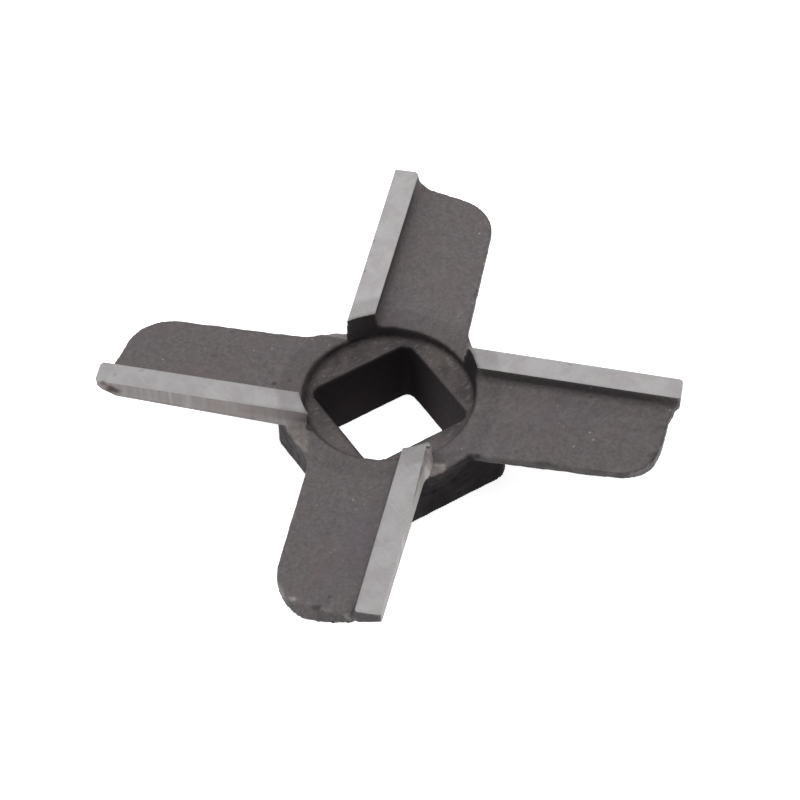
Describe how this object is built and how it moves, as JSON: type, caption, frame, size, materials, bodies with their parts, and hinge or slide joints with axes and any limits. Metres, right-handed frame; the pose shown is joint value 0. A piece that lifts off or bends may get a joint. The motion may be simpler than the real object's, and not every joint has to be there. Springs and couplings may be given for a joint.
{
  "type": "meat grinder knife",
  "caption": "Meat grinder knife: one cast iron cross of swept arms with ground cutting lands, on a square drive boss with a square hole right through.",
  "frame": {"origin": "centre of the square drive hole, at the back face of the boss", "axes": "+Z along the drive axis towards the cutting side; the flats of the square hole lie along X and Y, so the arms point along the diagonals"},
  "size_m": [0.0534, 0.0536, 0.0124],
  "materials": {
    "cast_iron": "as cast, dark and sandy, with satin ground lands and cutting faces"
  },
  "bodies": {
    "root": {"grinder_knife": "cast_iron"}
  },
  "joints": []
}
